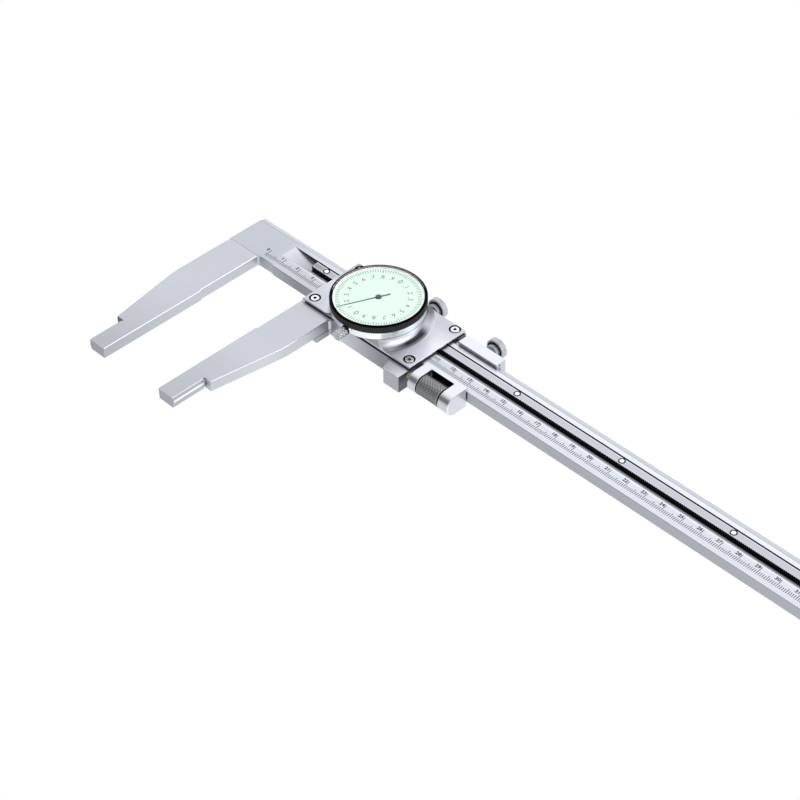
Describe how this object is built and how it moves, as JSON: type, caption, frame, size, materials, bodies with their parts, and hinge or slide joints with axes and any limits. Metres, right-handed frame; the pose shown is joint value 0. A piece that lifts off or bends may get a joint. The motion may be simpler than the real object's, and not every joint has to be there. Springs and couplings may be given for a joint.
{
  "type": "dial caliper",
  "caption": "Long-jaw dial caliper: beam with a scale and rack, slider with a geared dial, and a fine adjustment carriage.",
  "frame": {"origin": "centreline of the beam, on its back face, in line with the fixed jaw's measuring face", "axes": "+X along the beam, from the fixed jaw to the tail; +Y away from the jaws; +Z out of the scale face"},
  "size_m": [0.6396, 0.1276, 0.0234],
  "materials": {
    "beam_steel": "satin ground steel",
    "slider_steel": "satin ground steel",
    "plate_steel": "satin chrome",
    "rack_steel": "ground steel",
    "pin_steel": "bright turned steel",
    "stop_steel": "satin ground steel",
    "screw_steel": "bright plated steel",
    "case_silver": "polished satin chrome",
    "bezel_black": "black anodised",
    "crystal_clear": "clear",
    "face_green": "matt printed",
    "ring_white": "matt white",
    "hand_dark": "dark paint",
    "movement_brass": "turned brass",
    "arbor_steel": "hardened steel",
    "spring_bronze": "spring bronze",
    "adjust_brass": "threaded brass",
    "nut_steel": "knurled steel",
    "washer_black": "black",
    "carriage_steel": "polished satin chrome",
    "clamp_steel": "knurled plated steel"
  },
  "bodies": {
    "beam_assembly": {"beam": "beam_steel", "rack": "rack_steel", "rack_pins": "pin_steel", "end_stop": "stop_steel", "end_stop_screws": "screw_steel"},
    "slider": {"slider_body": "slider_steel", "slider_gib": "movement_brass", "gib_screws": "screw_steel", "cover_plate": "plate_steel", "plate_screws": "screw_steel", "case_ring": "case_silver", "fine_adjust_screw": "adjust_brass", "lug_pin": "pin_steel", "movement_plate": "movement_brass", "movement_bridge": "movement_brass", "bridge_pillars": "movement_brass", "bridge_screws": "screw_steel", "bearing_bushes": "spring_bronze"},
    "rack_gear": {"rack_arbor": "arbor_steel", "drive_wheel": "movement_brass", "takeup_wheel": "movement_brass", "takeup_spring": "spring_bronze"},
    "hand": {"centre_arbor": "arbor_steel", "pointer": "hand_dark"},
    "bezel_assembly": {"bezel": "bezel_black", "crystal": "crystal_clear", "dial_face": "face_green", "face_ring": "ring_white"},
    "bezel_clamp": {"bezel_screw": "clamp_steel"},
    "slider_clamp": {"slider_clamp_screw": "clamp_steel"},
    "carriage_assembly": {"carriage": "carriage_steel", "carriage_gib": "movement_brass", "carriage_gib_pin": "pin_steel", "nut_washer": "washer_black"},
    "nut": {"adjust_nut": "nut_steel"},
    "carriage_clamp": {"carriage_clamp_screw": "clamp_steel"}
  },
  "joints": [
    {"name": "jaw_slide", "type": "slide", "parent": "beam_assembly", "child": "slider", "axis": [1, 0, 0], "range_m": [-0.03714, 0.46286]},
    {"name": "rack_gear_spin", "type": "hinge", "parent": "slider", "child": "rack_gear", "pos_m": [0.0816, -0.00005, 0.006], "axis": [0, 0, 1], "continuous": true},
    {"name": "hand_spin", "type": "hinge", "parent": "slider", "child": "hand", "pos_m": [0.0728, -0.00375, 0.012], "axis": [0, 0, 1], "continuous": true},
    {"name": "bezel_spin", "type": "hinge", "parent": "slider", "child": "bezel_assembly", "pos_m": [0.0728, -0.00375, 0.017], "axis": [0, 0, 1], "continuous": true},
    {"name": "bezel_screw_turn", "type": "hinge", "parent": "slider", "child": "bezel_clamp", "pos_m": [0.0747, -0.02792, 0.01445], "axis": [-0.0785, 0.9969, 0], "range_deg": [-540, 45]},
    {"name": "slider_clamp_turn", "type": "hinge", "parent": "slider", "child": "slider_clamp", "pos_m": [0.0833, 0.02, 0.0029], "axis": [0, 1, 0], "range_deg": [-45, 540]},
    {"name": "fine_adjust_slide", "type": "slide", "parent": "slider", "child": "carriage_assembly", "axis": [1, 0, 0], "range_m": [-0.0025, 0.0055]},
    {"name": "nut_spin", "type": "hinge", "parent": "carriage_assembly", "child": "nut", "pos_m": [0.1215, -0.01825, 0.0029], "axis": [1, 0, 0], "range_deg": [-1801, 3961]},
    {"name": "carriage_clamp_turn", "type": "hinge", "parent": "carriage_assembly", "child": "carriage_clamp", "pos_m": [0.1216, 0.019, 0.0029], "axis": [0, 1, 0], "range_deg": [-45, 540]}
  ],
  "couplings": [
    {"joint": "rack_gear_spin", "follows": "jaw_slide", "rad_per_m": 628.32},
    {"joint": "hand_spin", "follows": "jaw_slide", "rad_per_m": -3141.6},
    {"joint": "nut_spin", "follows": "fine_adjust_slide", "rad_per_m": 12566}
  ]
}
